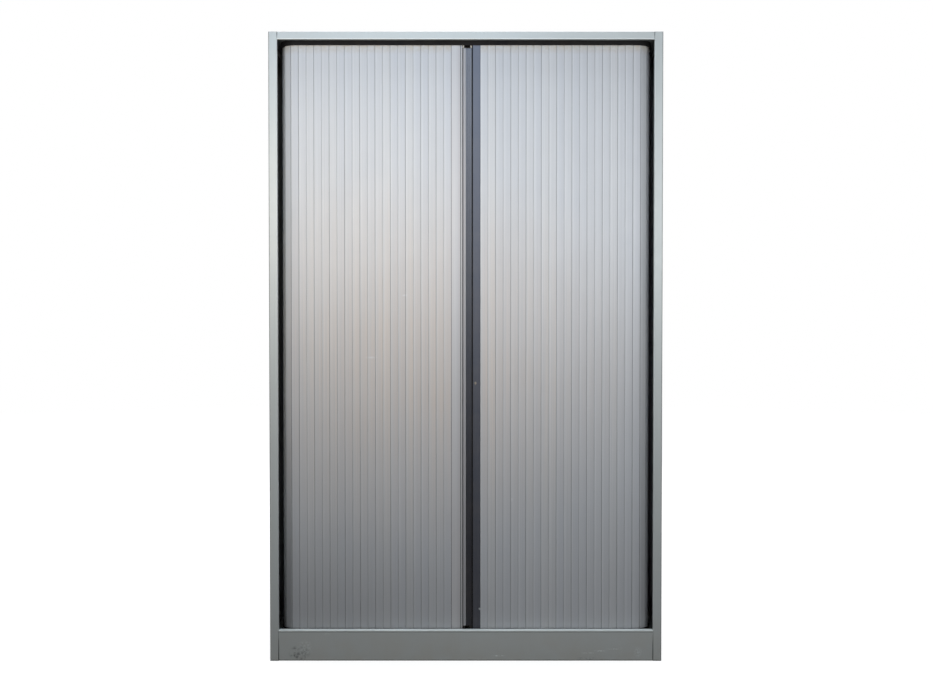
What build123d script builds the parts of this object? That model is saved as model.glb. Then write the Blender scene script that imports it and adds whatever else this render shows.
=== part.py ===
from build123d import *
import os
from math import floor

# Two-door tambour cupboard in folded sheet steel. Each door is a curtain of hinged slats that
# runs sideways in a top and a bottom track, round the front corner and into the side of the case.
# Millimetres. The origin is the centre of the base, X runs across the front, -Y is the front.

# ------------------------------------------------------------------ case
case_width = 1000.0
case_height = 1600.0
case_depth = 430.0
sheet = 1.0
bend_radius = 2.0  # outside radius of a folded edge
seam = 0.2  # fit between two fixed sheets that meet edge to edge

side_flange = 22.0  # face of the upright beside the curtain
side_return = 12.0
rear_flange = 20.0
top_flange = 19.5
top_return = 12.0
wing_flange = 25.0  # the top panel's edge that is screwed inside each side panel
plinth_height = 78.0
plinth_return = 15.0
back_foot = 15.0
tray_flange = 30.0

# ------------------------------------------------------------------ track
rail_height = 14.0
rail_lip = 10.0  # what shows of the top track below the top flange
rail_web = 4.0  # floor of the groove
rail_wall = 2.0
groove_width = 9.0
track_radius = 38.0  # centreline of the groove round each corner
track_rear_space = 15.0  # case back to the centreline of the rear run
tail_run = 100.0  # straight groove along the back after the rear corner

# ------------------------------------------------------------------ curtain
curtain_recess = 20.5  # case front to slat face
slat_width = 19.5  # hinge to hinge
slat_thickness = 6.0
slat_skin = 0.6
slat_crown = 0.3  # how far the middle of the slat's face stands out
wide_gap = 0.55  # half the open line at a clipped hinge
narrow_gap = 0.25  # half the open line at a moulded hinge
bead_radius = 1.1
bead_play = 0.15
claw_wall = 0.65
claw_mouth = 0.7  # hinge to the tip of the claw's lip
claw_chamfer = 0.5  # lets the next slat's skin swing past the claw
neck_thickness = 0.8
neck_length = 2.3  # hinge to the slat's own wall, which leaves room to turn a corner
slat_float = 0.3  # foot of a slat above the groove floor
slat_headroom = 2.0
pocket_slats = 7  # slats that stand round the corner when the door is shut

# ------------------------------------------------------------------ lead stiles
stile_edge = 37.0  # meeting line of the case to the first hinge, the same on both doors
left_stile_reach = 15.0  # closing edge of the left door, past the middle of the case
meeting_gap = 3.0
stile_notch = 8.0  # rail to the end of the grip
grip_start = -8.0  # where the grip begins beside the flat of the left stile
nose_rise = 4.0  # grip in front of the slat faces
nose_width = 5.5
nose_shoulder = 1.5
nose_round = 0.8
edge_rise = 2.8
edge_width = 3.0
channel_depth = 1.6
flute_width = 1.6
flute_depth = 1.1
flute_spacing = 4.8
nose_chamfer = 1.2
strip_play = 0.1
strip_sink = 0.8  # strip face below the edge beside it
rib_height = 0.5
rib_width = 0.9
rib_spacing = 4.4
glide_plate = 3.0
glide_lug_width = 4.4
shoe_height = 4.0
shoe_width = 16.0
shoe_thickness = 7.6
shoe_corner = 1.5
seal_play = 0.35
seal_thickness = 2.6
seal_end = 1.0  # seal short of each track

# ------------------------------------------------------------------ inside
pocket_space = 6.0  # track to the compartment wall
inner_front_space = 0.5  # end of the front bend to the compartment wall's front edge
inner_rear_space = 24.0  # rear run of the track to the back of the compartment
shelf_setback = 20.0  # track to the front edge of a shelf
shelf_drop = 30.0
shelf_lip = 12.0
shelf_count = 3
shelf_play = 0.5
slot_width = 4.0
slot_height = 10.0
slot_spacing = 75.0
slots_per_column = 18
slots_per_shelf = 5
first_slot = 63.0  # plinth top to the lowest slot
slot_inset_front = 40.0
slot_inset_rear = 36.0
clip_sheet = 1.5
clip_width = 12.0
clip_ledge = 12.0
clip_play = 0.2
shelf_over_slot = 12.0

# ------------------------------------------------------------------ levelling feet
foot_side_inset = 60.0
foot_end_inset = 50.0
foot_radius = 20.0
foot_thickness = 6.0
foot_sides = 12  # flats round the pad, for turning it by hand
stud_radius = 5.0
stud_headroom = 3.0  # top of the stud below the top of the nut plate
thread_play = 0.05
nut_radius = 11.0  # across the corners of the long weld nut
nut_height = 22.0
nut_plate = 50.0
nut_plate_thickness = 3.0

# ------------------------------------------------------------------ places worked out
half_width = case_width / 2
front_face = -case_depth / 2
rear_face = case_depth / 2
flange_edge = half_width - side_flange
between_flanges = flange_edge - seam
inside_half = half_width - bend_radius - seam
wing_half = half_width - sheet - seam
behind_returns = front_face + side_return + seam
back_outside = rear_face - sheet
back_inside = back_outside - sheet - seam

rail_width = groove_width + 2 * rail_wall
track_front = front_face + curtain_recess + slat_thickness / 2
track_side = flange_edge - rail_width / 2
track_back = rear_face - track_rear_space
rail_front = track_front - rail_width / 2
rail_rear = track_front + rail_width / 2

rail_base = plinth_height - rail_height
groove_floor = rail_base + rail_web
top_flange_bottom = case_height - top_flange
top_rail_base = top_flange_bottom - rail_lip
top_rail_top = top_rail_base + rail_height
groove_roof = top_rail_top - rail_web
curtain_foot = groove_floor + slat_float
curtain_top = groove_roof - slat_headroom
curtain_height = curtain_top - curtain_foot

slat_face = track_front - slat_thickness / 2
slat_back = track_front + slat_thickness / 2
slats_per_door = floor((track_side - track_radius - stile_edge) / slat_width)
right_stile_start = left_stile_reach + meeting_gap

inner_wall = track_side - rail_width / 2 - pocket_space
inner_front = track_front + track_radius + inner_front_space
inner_rear = track_back - inner_rear_space
shelf_front = rail_rear + shelf_setback
slot_columns = (shelf_front + slot_inset_front, inner_rear - slot_inset_rear)
slot_base = plinth_height + first_slot
foot_x = half_width - foot_side_inset
foot_y = case_depth / 2 - foot_end_inset


def folded_section(points, side):
    """Section of a folded sheet: a line with rounded bends, thickened to one side."""
    with BuildSketch() as section:
        with BuildLine():
            FilletPolyline(*points, radius=bend_radius)
            offset(amount=sheet, side=side)
        make_face()
    return section.sketch


# The groove's centreline for the right-hand door, from the middle of the front to the back.
with BuildLine() as track:
    front_run = Line((0, track_front), (track_side - track_radius, track_front))
    front_bend = JernArc(front_run @ 1, front_run % 1, track_radius, 90)
    side_run = Line(front_bend @ 1, (track_side, track_back - track_radius))
    rear_bend = JernArc(side_run @ 1, side_run % 1, track_radius, 90)
    rear_run = Line(rear_bend @ 1, rear_bend @ 1 - Vector(tail_run, 0))
track_line = track.wire()


def track_at(distance):
    """Point of the groove's centreline at a distance along it."""
    return track_line.position_at(distance, position_mode=PositionMode.LENGTH)


def next_hinge(distance):
    """Distance along the track of the hinge one straight slat further on."""
    near = distance + slat_width
    far = distance + slat_width * 1.2
    for _ in range(30):
        middle = (near + far) / 2
        if (track_at(middle) - track_at(distance)).length < slat_width:
            near = middle
        else:
            far = middle
    return near


def claw_section():
    """Claw at a slat's far edge, open towards the next slat, round a hinge at the origin."""
    bore = bead_radius + bead_play
    outside = bore + claw_wall
    with BuildSketch() as claw:
        with BuildLine():
            Polyline(
                (-outside, -outside),
                (bore - claw_chamfer, -outside),
                (bore, claw_chamfer - outside),
                (bore, -claw_mouth),
                (bore - claw_wall / 2, -claw_mouth),
                (bore - claw_wall / 2, -bore),
                (-bore, -bore),
                (-bore, bore),
                (claw_wall / 2, bore),
                (claw_wall / 2, outside),
                (-outside, outside),
                close=True,
            )
        make_face()
    return claw.sketch


def slat_section(near_gap, far_gap):
    """Slat along +X, face towards -Y: bead and neck at the origin, claw one pitch on."""
    skin_edge = slat_thickness / 2 - slat_crown
    skin_back = skin_edge - slat_skin
    rear = slat_thickness / 2
    far_wall = slat_width - bead_radius - bead_play - claw_wall / 2
    with BuildSketch() as slat:
        with BuildLine():
            face = ThreePointArc(
                (near_gap, -skin_edge),
                (slat_width / 2, -rear),
                (slat_width - far_gap, -skin_edge),
            )
            Polyline(
                face @ 1,
                (slat_width - far_gap, -skin_back),
                (far_wall, -skin_back),
                (far_wall, rear),
                (neck_length, rear),
                (neck_length, -skin_back),
                (near_gap, -skin_back),
                face @ 0,
            )
        make_face()
        RegularPolygon(bead_radius, 6)
        Rectangle(neck_length, neck_thickness, align=(Align.MIN, Align.CENTER))
        with Locations((slat_width, 0)):
            add(claw_section())
    return slat.sketch


# Hinges alternate: clipped with an open line, then moulded with a fine one.
clipped_first = slat_section(wide_gap, narrow_gap)
moulded_first = slat_section(narrow_gap, wide_gap)

hinges = [stile_edge]
for _ in range(slats_per_door + pocket_slats):
    hinges.append(next_hinge(hinges[-1]))


def slat_places(first, last):
    """Location of each second slat from first up to last, along the right-hand track."""
    places = []
    for number in range(first, last, 2):
        start = track_at(hinges[number])
        along = track_at(hinges[number + 1]) - start
        heading = Vector(1, 0).get_signed_angle(along, Vector(0, 0, 1))
        places.append(Location(start, (0, 0, heading)))
    return places


# ------------------------------------------------------------------ case panels
with BuildPart() as right_side_panel:
    with BuildSketch():
        side_line = [
            (flange_edge, front_face + side_return),
            (flange_edge, front_face),
            (half_width, front_face),
            (half_width, rear_face),
            (half_width - rear_flange, rear_face),
        ]
        add(folded_section(side_line, Side.LEFT))
    extrude(amount=case_height)

with BuildPart() as left_side_panel:
    mirror(right_side_panel.part, about=Plane.YZ)

with BuildPart() as top_panel:
    with BuildSketch(Plane.YZ):
        top_line = [
            (front_face + top_return, top_flange_bottom),
            (front_face, top_flange_bottom),
            (front_face, case_height),
            (rear_face, case_height),
            (rear_face, case_height - rear_flange),
        ]
        add(folded_section(top_line, Side.RIGHT))
    extrude(amount=between_flanges, both=True)
    wing_depth = back_inside - behind_returns
    with BuildSketch(Plane.XY.offset(case_height - sheet)):
        with Locations((0, behind_returns)):
            Rectangle(2 * wing_half, wing_depth, align=(Align.CENTER, Align.MIN))
    extrude(amount=sheet)
    with BuildSketch(Plane.XY.offset(case_height - sheet)):
        for edge, grip in ((wing_half, Align.MAX), (-wing_half, Align.MIN)):
            with Locations((edge, behind_returns)):
                Rectangle(sheet, wing_depth, align=(grip, Align.MIN))
    extrude(amount=-wing_flange)

with BuildPart() as back_panel:
    with BuildSketch(Plane.YZ):
        back_line = [
            (back_outside - back_foot, 0),
            (back_outside, 0),
            (back_outside, case_height - bend_radius - seam),
        ]
        add(folded_section(back_line, Side.LEFT))
    extrude(amount=inside_half, both=True)

with BuildPart() as plinth_panel:
    with BuildSketch(Plane.YZ):
        plinth_line = [
            (front_face + plinth_return, 0),
            (front_face, 0),
            (front_face, plinth_height),
            (rail_front - seam, plinth_height),
            (rail_front - seam, rail_base),
        ]
        add(folded_section(plinth_line, Side.RIGHT))
    extrude(amount=between_flanges, both=True)

# The tray carries the bottom track. Its front strip fits between the uprights' returns.
with BuildSketch(Plane.XY.offset(rail_base), mode=Mode.PRIVATE) as tray_plan:
    with Locations((0, behind_returns)):
        Rectangle(2 * inside_half, back_inside - behind_returns, align=(Align.CENTER, Align.MIN))
        strip_depth = side_return - sheet
        Rectangle(2 * between_flanges, strip_depth, align=(Align.CENTER, Align.MAX))

with BuildPart() as base_tray:
    extrude(tray_plan.sketch, amount=-tray_flange)
    with BuildSketch(Plane.XY.offset(rail_base - sheet)):
        add(tray_plan.sketch_local)
        offset(amount=-sheet, mode=Mode.REPLACE)
    extrude(amount=-tray_flange, mode=Mode.SUBTRACT)

# The carrier holds the top track and is closed by the top panel.
with BuildPart() as track_carrier:
    carrier_half = wing_half - sheet - seam
    carrier_rise = case_height - sheet - top_rail_top
    with BuildSketch(Plane.XY.offset(top_rail_top)) as carrier_plan:
        with Locations((0, behind_returns)):
            Rectangle(2 * carrier_half, wing_depth, align=(Align.CENTER, Align.MIN))
    extrude(amount=carrier_rise)
    with BuildSketch(Plane.XY.offset(top_rail_top + sheet)):
        add(carrier_plan.sketch_local)
        offset(amount=-sheet, mode=Mode.REPLACE)
    extrude(amount=carrier_rise, mode=Mode.SUBTRACT)

# ------------------------------------------------------------------ tracks
with BuildPart() as bottom_rail_right:
    with BuildSketch(Plane.XY.offset(rail_base)):
        trace(track_line, line_width=rail_width)
    extrude(amount=rail_height)
    with BuildSketch(Plane.XY.offset(groove_floor)):
        trace(track_line, line_width=groove_width)
    extrude(amount=rail_height, mode=Mode.SUBTRACT)

with BuildPart() as bottom_rail_left:
    mirror(bottom_rail_right.part, about=Plane.YZ)

with BuildPart() as top_rail_right:
    with BuildSketch(Plane.XY.offset(top_rail_top)):
        trace(track_line, line_width=rail_width)
    extrude(amount=-rail_height)
    with BuildSketch(Plane.XY.offset(groove_roof)):
        trace(track_line, line_width=groove_width)
    extrude(amount=-rail_height, mode=Mode.SUBTRACT)

with BuildPart() as top_rail_left:
    mirror(top_rail_right.part, about=Plane.YZ)

# ------------------------------------------------------------------ curtains
with BuildPart() as right_front_slats:
    with BuildSketch(Plane.XY.offset(curtain_foot)):
        with Locations(*slat_places(0, slats_per_door)):
            add(clipped_first)
        with Locations(*slat_places(1, slats_per_door)):
            add(moulded_first)
    extrude(amount=curtain_height)

with BuildPart() as right_pocket_slats:
    all_slats = slats_per_door + pocket_slats
    odd_start = slats_per_door % 2
    with BuildSketch(Plane.XY.offset(curtain_foot)):
        with Locations(*slat_places(slats_per_door + odd_start, all_slats)):
            add(clipped_first)
        with Locations(*slat_places(slats_per_door + 1 - odd_start, all_slats)):
            add(moulded_first)
    extrude(amount=curtain_height)

with BuildPart() as left_front_slats:
    mirror(right_front_slats.part, about=Plane.YZ)

with BuildPart() as left_pocket_slats:
    mirror(right_pocket_slats.part, about=Plane.YZ)

# ------------------------------------------------------------------ left lead stile
grip_bottom = plinth_height + stile_notch
grip_top = top_rail_base - stile_notch
claw_root = stile_edge - bead_radius - bead_play - claw_wall / 2
nose_start = grip_start + nose_shoulder
nose_face = slat_face - nose_rise
edge_face = slat_face - edge_rise
channel_start = nose_start + nose_width
channel_end = left_stile_reach - edge_width
channel_floor = slat_face + channel_depth

with BuildPart() as left_lead_stile:
    # Flat of the stile, with a claw for the first slat and two flutes beside the grip.
    with BuildSketch(Plane.XY.offset(curtain_foot)):
        with BuildLine():
            Polyline(
                (-stile_edge + wide_gap, slat_face + slat_crown),
                (-claw_root, slat_face),
                (grip_start, slat_face),
                (grip_start, slat_back),
                (-claw_root, slat_back),
                (-claw_root, slat_face + slat_crown + slat_skin),
                (-stile_edge + wide_gap, slat_face + slat_crown + slat_skin),
                close=True,
            )
        make_face()
        with Locations(Location((-stile_edge, track_front))):
            add(claw_section().mirror(Plane.YZ))
        for step in range(2):
            with Locations((grip_start - flute_width / 2 - step * flute_spacing, slat_face)):
                Rectangle(flute_width, 2 * flute_depth, mode=Mode.SUBTRACT)
    extrude(amount=curtain_height)
    # Grip: a rounded nose, a channel for the strip and a raised closing edge.
    with BuildSketch(Plane.XY.offset(grip_bottom)):
        with BuildLine():
            Polyline(
                (grip_start, slat_back),
                (grip_start, slat_face),
                (nose_start, nose_face + nose_shoulder),
                (nose_start + nose_shoulder, nose_face),
                (channel_start - nose_round, nose_face),
                (channel_start, nose_face + nose_round),
                (channel_start, channel_floor),
                (channel_end, channel_floor),
                (channel_end, edge_face),
                (left_stile_reach - nose_round, edge_face),
                (left_stile_reach, edge_face + nose_round),
                (left_stile_reach, slat_back),
                close=True,
            )
        make_face()
    extrude(amount=grip_top - grip_bottom)

with BuildPart() as left_grip_strip:
    strip_face = edge_face + strip_sink
    strip_width = channel_end - channel_start - 2 * strip_play
    strip_middle = (channel_start + channel_end) / 2
    with BuildSketch(Plane.XY.offset(grip_bottom)):
        with Locations((strip_middle, channel_floor)):
            Rectangle(strip_width, channel_floor - strip_face, align=(Align.CENTER, Align.MAX))
        with Locations((strip_middle, strip_face)):
            with GridLocations(rib_spacing, 1, 2, 1):
                Rectangle(rib_width, rib_height, align=(Align.CENTER, Align.MAX))
    extrude(amount=grip_top - grip_bottom)

glide_start = grip_start + seam
glide_middle = (glide_start + left_stile_reach) / 2
lug_spacing = left_stile_reach - glide_start - glide_lug_width


def lug_glide(stile_end, tip):
    """Nylon glide under or over the grip: a plate on the stile's end, two lugs in the groove."""
    outward = 1 if tip > stile_end else -1
    plate_end = stile_end + outward * glide_plate
    with BuildPart() as glide:
        with BuildSketch(Plane.XY.offset(stile_end)):
            with Locations((glide_middle, track_front)):
                Rectangle(left_stile_reach - glide_start, slat_thickness)
        extrude(amount=outward * glide_plate)
        with BuildSketch(Plane.XY.offset(plate_end)):
            with Locations((glide_middle, track_front)):
                with GridLocations(lug_spacing, 1, 2, 1):
                    Rectangle(glide_lug_width, slat_thickness)
        extrude(amount=tip - plate_end)
    return glide.part


with BuildPart() as left_stile_bottom_glide:
    add(lug_glide(grip_bottom, curtain_foot))

with BuildPart() as left_stile_top_glide:
    add(lug_glide(grip_top, curtain_top))

# ------------------------------------------------------------------ right lead stile
with BuildPart() as right_lead_stile:
    with BuildSketch(Plane.XY.offset(curtain_foot + shoe_height)):
        with BuildLine():
            Polyline(
                (right_stile_start + nose_chamfer, slat_face),
                (claw_root, slat_face),
                (stile_edge - wide_gap, slat_face + slat_crown),
                (stile_edge - wide_gap, slat_face + slat_crown + slat_skin),
                (claw_root, slat_face + slat_crown + slat_skin),
                (claw_root, slat_back),
                (right_stile_start, slat_back),
                (right_stile_start, slat_face + nose_chamfer),
                close=True,
            )
        make_face()
        with Locations((stile_edge, track_front)):
            add(claw_section())
    extrude(amount=curtain_height - 2 * shoe_height)

shoe_middle = (right_stile_start + claw_root) / 2


def groove_shoe(level):
    """Nylon shoe on an end of the right stile, free to slide in the groove."""
    with BuildPart() as shoe:
        with BuildSketch(Plane.XY.offset(level)) as shoe_plan:
            with Locations((shoe_middle, track_front)):
                Rectangle(shoe_width, shoe_thickness)
            chamfer(shoe_plan.vertices(), length=shoe_corner)
        extrude(amount=shoe_height)
    return shoe.part


with BuildPart() as right_stile_bottom_glide:
    add(groove_shoe(curtain_foot))

with BuildPart() as right_stile_top_glide:
    add(groove_shoe(curtain_top - shoe_height))

# Rubber bead on the closing edge of the right stile.
with BuildPart() as meeting_seal:
    seal_radius = seal_thickness / 2
    seal_reach = meeting_gap - seal_play
    with BuildSketch(Plane.XY.offset(plinth_height + seal_end)):
        with Locations((right_stile_start, track_front)):
            Rectangle(seal_reach - seal_radius, seal_thickness, align=(Align.MAX, Align.CENTER))
        with Locations((right_stile_start - seal_reach + seal_radius, track_front)):
            Circle(seal_radius)
    extrude(amount=top_rail_base - plinth_height - 2 * seal_end)

# ------------------------------------------------------------------ compartment
inner_height = top_rail_top - rail_base
slot_levels = [slot_base + number * slot_spacing for number in range(slots_per_column)]
slot_middle = (slot_levels[0] + slot_levels[-1]) / 2

with BuildPart() as right_inner_side:
    with BuildSketch(Plane.XY.offset(rail_base)):
        inner_line = [
            (track_side - rail_width / 2 - seam, inner_front),
            (inner_wall, inner_front),
            (inner_wall, inner_rear),
        ]
        add(folded_section(inner_line, Side.RIGHT))
    extrude(amount=inner_height)
    with BuildSketch(Plane.YZ.offset(inner_wall)):
        for column in slot_columns:
            with Locations((column, slot_middle)):
                with GridLocations(1, slot_spacing, 1, slots_per_column):
                    Rectangle(slot_width, slot_height)
    extrude(amount=2 * sheet, mode=Mode.SUBTRACT)

with BuildPart() as left_inner_side:
    mirror(right_inner_side.part, about=Plane.YZ)

with BuildPart() as inner_back_panel:
    with BuildSketch(Plane.XY.offset(rail_base)):
        with Locations((0, inner_rear)):
            Rectangle(2 * (inner_wall - seam), sheet, align=(Align.CENTER, Align.MAX))
    extrude(amount=inner_height)

# Compartment floor: an upturned tray whose front corners follow the inside of the track.
floor_half = inner_wall - seam
floor_front = rail_rear + seam
floor_rear = inner_rear - sheet - seam
floor_corner = track_radius - rail_width / 2

with BuildPart() as floor_panel:
    with BuildSketch(Plane.XY.offset(rail_base)) as floor_plan:
        with Locations((0, floor_front)):
            floor_depth = floor_rear - floor_front
            Rectangle(2 * floor_half, floor_depth, align=(Align.CENTER, Align.MIN))
        fillet(floor_plan.vertices().group_by(Axis.Y)[0], radius=floor_corner)
    extrude(amount=rail_height)
    with BuildSketch(Plane.XY.offset(rail_base)):
        add(floor_plan.sketch_local)
        offset(amount=-sheet, mode=Mode.REPLACE)
    extrude(amount=rail_height - sheet, mode=Mode.SUBTRACT)

# ------------------------------------------------------------------ shelves and clips
shelf_half = inner_wall - clip_sheet - shelf_play
shelf_slots = [slot_levels[(number + 1) * slots_per_shelf - 1] for number in range(shelf_count)]


def shelf(top):
    """Shelf with its front and rear edges folded down and hemmed in."""
    rear = floor_rear - shelf_play
    line = [
        (shelf_front + shelf_lip, top - shelf_drop),
        (shelf_front, top - shelf_drop),
        (shelf_front, top),
        (rear, top),
        (rear, top - shelf_drop),
        (rear - shelf_lip, top - shelf_drop),
    ]
    with BuildPart() as folded:
        with BuildSketch(Plane.YZ):
            add(folded_section(line, Side.RIGHT))
        extrude(amount=shelf_half, both=True)
    return folded.part


def clip(column, slot):
    """Shelf clip on the right-hand wall: a ledge, a plate and a tongue through the slot."""
    ledge_top = slot + shelf_over_slot - sheet
    with BuildPart() as hook:
        with BuildSketch(Plane.XZ.offset(-column)):
            with Locations((inner_wall, ledge_top)):
                Rectangle(clip_ledge, clip_sheet, align=(Align.MAX, Align.MAX))
                plate_height = shelf_over_slot + slot_height / 2
                Rectangle(clip_sheet, plate_height, align=(Align.MAX, Align.MAX))
        extrude(amount=clip_width / 2, both=True)
        with BuildSketch(Plane.XZ.offset(-column)):
            with Locations((inner_wall, slot)):
                Rectangle(2 * clip_sheet + sheet, slot_height - 2 * clip_play)
        extrude(amount=slot_width / 2 - clip_play, both=True)
    return hook.part


with BuildPart() as shelf_clips:
    for slot in shelf_slots:
        for column in slot_columns:
            hook = clip(column, slot)
            add(hook)
            mirror(hook, about=Plane.YZ)

# ------------------------------------------------------------------ levelling feet
nut_plate_top = rail_base - sheet
nut_base = nut_plate_top - nut_plate_thickness - nut_height
stud_length = nut_plate_top - stud_headroom - foot_thickness

with BuildPart() as foot_brackets:
    with BuildSketch(Plane.XY.offset(nut_plate_top)):
        with GridLocations(2 * foot_x, 2 * foot_y, 2, 2):
            Rectangle(nut_plate, nut_plate)
    extrude(amount=-nut_plate_thickness)
    with BuildSketch(Plane.XY.offset(nut_base)):
        with GridLocations(2 * foot_x, 2 * foot_y, 2, 2):
            RegularPolygon(nut_radius, 6)
    extrude(amount=nut_height)
    with BuildSketch(Plane.XY.offset(nut_plate_top)):
        with GridLocations(2 * foot_x, 2 * foot_y, 2, 2):
            Circle(stud_radius + thread_play)
    extrude(amount=nut_base - nut_plate_top, mode=Mode.SUBTRACT)


def levelling_foot(x, y):
    """Foot pad with flats round its rim, and its stud."""
    with BuildPart() as foot:
        with BuildSketch():
            with Locations((x, y)):
                RegularPolygon(foot_radius, foot_sides)
        extrude(amount=foot_thickness)
        with BuildSketch(Plane.XY.offset(foot_thickness)):
            with Locations((x, y)):
                Circle(stud_radius)
        extrude(amount=stud_length)
    return foot.part


# ------------------------------------------------------------------ written parts
pieces = {
    "right_side_panel": right_side_panel.part,
    "left_side_panel": left_side_panel.part,
    "top_panel": top_panel.part,
    "back_panel": back_panel.part,
    "plinth_panel": plinth_panel.part,
    "base_tray": base_tray.part,
    "track_carrier": track_carrier.part,
    "bottom_rail_right": bottom_rail_right.part,
    "bottom_rail_left": bottom_rail_left.part,
    "top_rail_right": top_rail_right.part,
    "top_rail_left": top_rail_left.part,
    "right_front_slats": right_front_slats.part,
    "left_front_slats": left_front_slats.part,
    "right_pocket_slats": right_pocket_slats.part,
    "left_pocket_slats": left_pocket_slats.part,
    "left_lead_stile": left_lead_stile.part,
    "left_grip_strip": left_grip_strip.part,
    "left_stile_bottom_glide": left_stile_bottom_glide.part,
    "left_stile_top_glide": left_stile_top_glide.part,
    "right_lead_stile": right_lead_stile.part,
    "right_stile_bottom_glide": right_stile_bottom_glide.part,
    "right_stile_top_glide": right_stile_top_glide.part,
    "meeting_seal": meeting_seal.part,
    "right_inner_side": right_inner_side.part,
    "left_inner_side": left_inner_side.part,
    "inner_back_panel": inner_back_panel.part,
    "floor_panel": floor_panel.part,
    "shelf_clips": shelf_clips.part,
    "foot_brackets": foot_brackets.part,
}
for name, slot in zip(("lower", "middle", "upper"), shelf_slots):
    pieces[f"{name}_shelf"] = shelf(slot + shelf_over_slot)
for name, x, y in (
    ("front_left", -foot_x, -foot_y),
    ("front_right", foot_x, -foot_y),
    ("rear_left", -foot_x, foot_y),
    ("rear_right", foot_x, foot_y),
):
    pieces[f"levelling_foot_{name}"] = levelling_foot(x, y)

os.makedirs("parts", exist_ok=True)
for name, piece in pieces.items():
    piece.label = name
    export_step(piece, f"parts/{name}.step")
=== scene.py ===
from math import pi, radians

import bpy
import numpy as np
from bpy.props import FloatProperty, FloatVectorProperty, IntProperty, PointerProperty
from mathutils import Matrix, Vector


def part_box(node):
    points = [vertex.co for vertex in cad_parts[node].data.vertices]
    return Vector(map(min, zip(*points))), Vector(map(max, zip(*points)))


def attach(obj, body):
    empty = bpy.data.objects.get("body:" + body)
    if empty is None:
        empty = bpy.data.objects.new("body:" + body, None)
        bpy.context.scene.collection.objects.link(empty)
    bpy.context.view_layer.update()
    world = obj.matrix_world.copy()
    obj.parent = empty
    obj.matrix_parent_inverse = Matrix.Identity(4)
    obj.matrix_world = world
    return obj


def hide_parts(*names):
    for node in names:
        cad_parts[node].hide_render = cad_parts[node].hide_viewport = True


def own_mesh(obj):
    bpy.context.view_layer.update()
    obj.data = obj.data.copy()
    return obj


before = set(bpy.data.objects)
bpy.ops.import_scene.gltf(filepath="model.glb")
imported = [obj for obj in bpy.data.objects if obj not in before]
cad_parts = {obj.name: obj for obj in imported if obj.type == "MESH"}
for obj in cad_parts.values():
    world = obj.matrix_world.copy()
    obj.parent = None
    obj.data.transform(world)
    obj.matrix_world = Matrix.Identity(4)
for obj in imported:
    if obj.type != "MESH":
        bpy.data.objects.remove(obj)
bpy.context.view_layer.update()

# Two-door tambour cupboard in stoved enamel, with curtains of silver plastic slats.
# Metres. X runs across the front, -Y is the front, the base stands at Z = 0.

bl_info = {
    "name": "Tambour Cupboard",
    "version": (1, 0, 0),
    "blender": (4, 5, 0),
    "location": "View3D > Sidebar > Cupboard",
    "description": "Curtains, stiles, feet, finishes and studio of a two-door tambour cupboard",
    "category": "Object",
}

MM = 0.001
FEET = ("front_left", "front_right", "rear_left", "rear_right")

# Planes that the pieces and their marks are placed by. A seam runs between an upright and what
# stands beside it, at SEAM to the left and right of the middle.
CASE_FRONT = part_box("right_side_panel")[0].y
CASE_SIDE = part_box("right_side_panel")[1].x
CASE_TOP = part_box("right_side_panel")[1].z
SEAM = (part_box("plinth_panel")[1].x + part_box("right_side_panel")[0].x) / 2
SLAT_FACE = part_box("right_lead_stile")[0].y

# Radius of the corners that look sharp.
SHARP = 0.08 * MM

# Half size of a mark that runs on along the whole piece.
ENDLESS = 9.0


def linear(code):
    """Linear colour of an sRGB hex code: c / 12.92 up to 0.04045, above it ((c + 0.055) / 1.055) ** 2.4."""
    levels = np.array([int(code[start : start + 2], 16) for start in (0, 2, 4)]) / 255
    low = levels / 12.92
    high = ((levels + 0.055) / 1.055) ** 2.4
    return tuple(float(value) for value in np.where(levels <= 0.04045, low, high)) + (1.0,)


# ------------------------------------------------------------------ settings
def length(name, description, millimetres):
    """A length setting, written in millimetres and kept in metres."""
    return FloatProperty(
        name=name,
        description=description,
        default=millimetres * MM,
        min=0.0,
        precision=5,
        unit="LENGTH",
    )


def colour(name, description, code):
    """A colour setting from an sRGB hex code."""
    return FloatVectorProperty(
        name=name,
        description=description,
        default=linear(code),
        size=4,
        min=0.0,
        max=1.0,
        subtype="COLOR",
    )


def power(name, description, watts):
    """A lamp's power setting."""
    return FloatProperty(name=name, description=description, default=watts, min=0.0, unit="POWER")


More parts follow.
